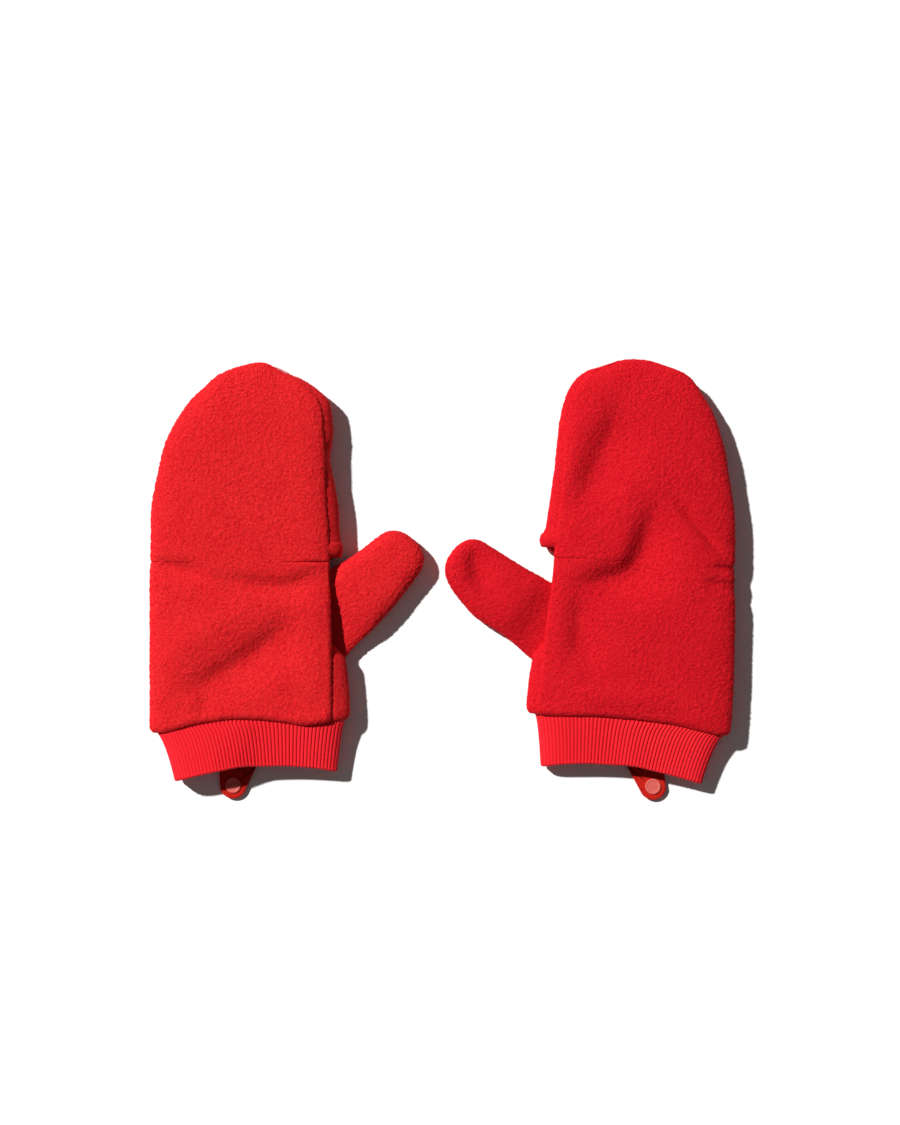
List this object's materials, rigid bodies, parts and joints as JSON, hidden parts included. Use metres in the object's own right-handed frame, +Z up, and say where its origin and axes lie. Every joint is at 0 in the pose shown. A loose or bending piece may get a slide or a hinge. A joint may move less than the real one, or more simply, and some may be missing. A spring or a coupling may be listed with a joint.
{
  "type": "convertible flip-top mittens",
  "caption": "Pair of fleece mittens with flip-back hoods over fingerless sleeves, sewn thumbs, folded rib-knit cuffs and snap tabs, lying palm down.",
  "frame": {"origin": "on the table under the middle of the pair's bounding box", "axes": "+X towards the right mitten, +Y towards the fingertips, +Z up from the table"},
  "size_m": [0.3856, 0.2894, 0.023],
  "materials": {
    "fleece": "napped polar fleece",
    "rib": "one by one rib knit",
    "strap": "dense felted fleece",
    "thread": "polyester sewing thread",
    "snap": "smooth resin"
  },
  "bodies": {
    "left_hand": {"left_back_panel": "fleece", "left_palm_panel": "fleece", "left_outer_side_seam": "thread", "left_knuckle_seam": "thread", "left_finger_sleeve": "fleece", "left_finger_opening_binding": "rib", "left_cuff": "rib", "left_cuff_seam": "thread", "left_tab_anchor": "strap"},
    "left_hood": {"left_hood_top": "fleece", "left_hood_palm": "fleece", "left_hood_hem": "fleece", "left_hood_seam": "thread"},
    "left_thumb": {"left_thumb_back": "fleece", "left_thumb_palm": "fleece", "left_thumb_seam": "thread"},
    "left_tab": {"left_tab": "strap", "left_snap_cap": "snap", "left_snap_stud": "snap"},
    "right_hand": {"right_back_panel": "fleece", "right_palm_panel": "fleece", "right_outer_side_seam": "thread", "right_knuckle_seam": "thread", "right_finger_sleeve": "fleece", "right_finger_opening_binding": "rib", "right_cuff": "rib", "right_cuff_seam": "thread", "right_tab_anchor": "strap"},
    "right_hood": {"right_hood_top": "fleece", "right_hood_palm": "fleece", "right_hood_hem": "fleece", "right_hood_seam": "thread"},
    "right_thumb": {"right_thumb_back": "fleece", "right_thumb_palm": "fleece", "right_thumb_seam": "thread"},
    "right_tab": {"right_tab": "strap", "right_snap_cap": "snap", "right_snap_socket": "snap"}
  },
  "joints": [
    {"name": "left_hood_flip", "type": "hinge", "parent": "left_hand", "child": "left_hood", "pos_m": [-0.13232, 0.01179, 0.0235], "axis": [1, 0, 0], "range_deg": [0, 170]},
    {"name": "left_thumb_swing", "type": "hinge", "parent": "left_hand", "child": "left_thumb", "pos_m": [-0.06632, -0.02621, 0.006], "axis": [0, 0, 1], "range_deg": [-21, 6]},
    {"name": "left_tab_fold", "type": "hinge", "parent": "left_hand", "child": "left_tab", "pos_m": [-0.13532, -0.12381, 0.0051], "axis": [-0.9962, -0.0872, 0], "range_deg": [0, 80]},
    {"name": "right_hood_flip", "type": "hinge", "parent": "right_hand", "child": "right_hood", "pos_m": [0.13101, 0.01178, 0.0235], "axis": [0.9986, -0.0523, 0], "range_deg": [0, 170]},
    {"name": "right_thumb_swing", "type": "hinge", "parent": "right_hand", "child": "right_thumb", "pos_m": [0.06311, -0.02272, 0.006], "axis": [0, 0, -1], "range_deg": [-4, 23]},
    {"name": "right_tab_fold", "type": "hinge", "parent": "right_hand", "child": "right_tab", "pos_m": [0.1334, -0.12413, 0.0051], "axis": [-0.9903, 0.1392, 0], "range_deg": [0, 80]},
    {"name": "pair_spread", "type": "slide", "parent": "left_hand", "child": "right_hand", "axis": [1, 0, 0], "range_m": [0, 0.15]}
  ]
}
